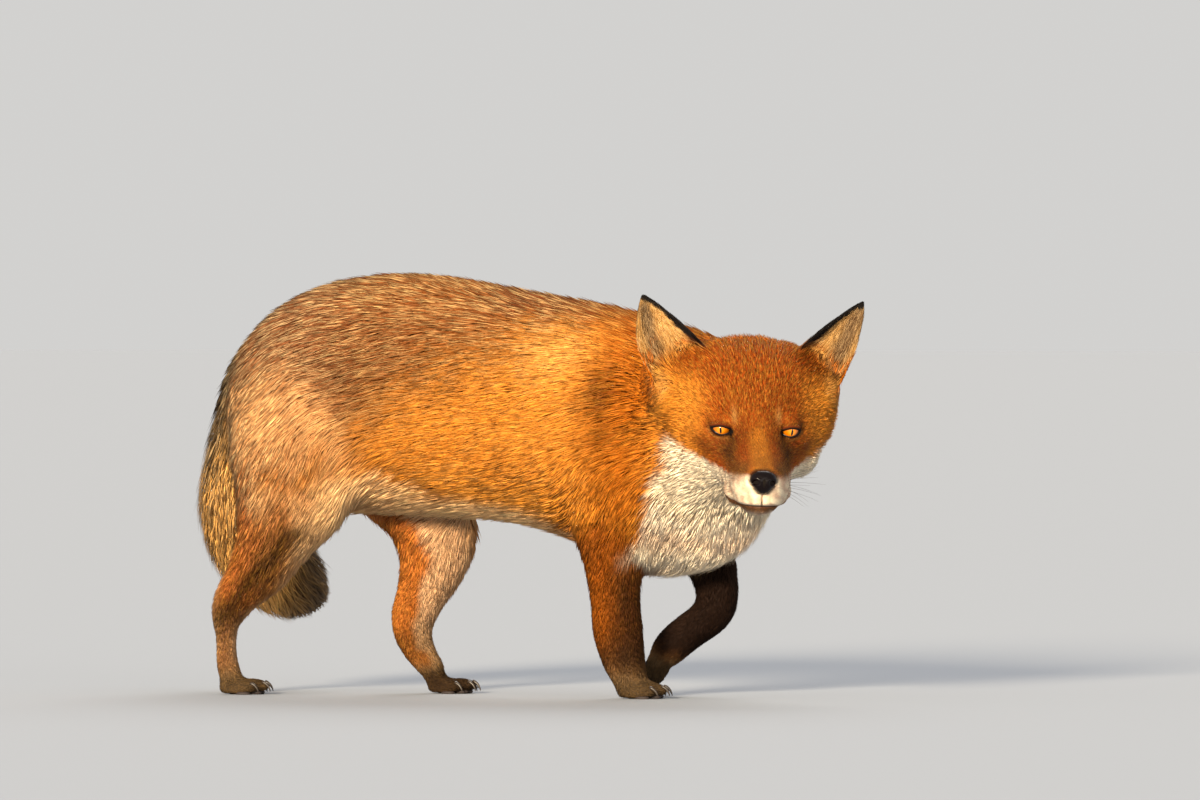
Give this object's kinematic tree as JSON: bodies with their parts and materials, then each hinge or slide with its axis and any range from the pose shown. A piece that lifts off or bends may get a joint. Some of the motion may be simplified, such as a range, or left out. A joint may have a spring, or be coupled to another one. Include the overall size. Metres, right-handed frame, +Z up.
{
  "type": "red fox",
  "caption": "Life-size still red fox with a long brush tail, walking with its head turned to its right and its left forepaw lifted.",
  "frame": {"origin": "middle of the bounding box's underside, on the floor", "axes": "+Z up; the body faces -Y, so +X is the fox's own left; the head is turned towards -X"},
  "size_m": [0.3414, 0.6814, 0.3895],
  "materials": {
    "coat": "long soft fur, orange to grey-brown",
    "pale_coat": "short cream fur",
    "dark_coat": "short dark brown fur",
    "nose_skin": "moist black leathery skin",
    "eye": "wet amber iris with an upright pupil"
  },
  "bodies": {
    "root": {"ear_left": "pale_coat", "ear_right": "pale_coat", "eye_left": "eye", "eye_right": "eye", "head": "coat", "jaw": "pale_coat", "leg_fore_left": "coat", "leg_fore_right": "coat", "leg_hind_left": "coat", "leg_hind_right": "coat", "neck": "coat", "nose": "nose_skin", "paw_fore_left": "dark_coat", "paw_fore_right": "dark_coat", "paw_hind_left": "dark_coat", "paw_hind_right": "dark_coat", "tail": "coat", "trunk": "coat"}
  },
  "joints": []
}
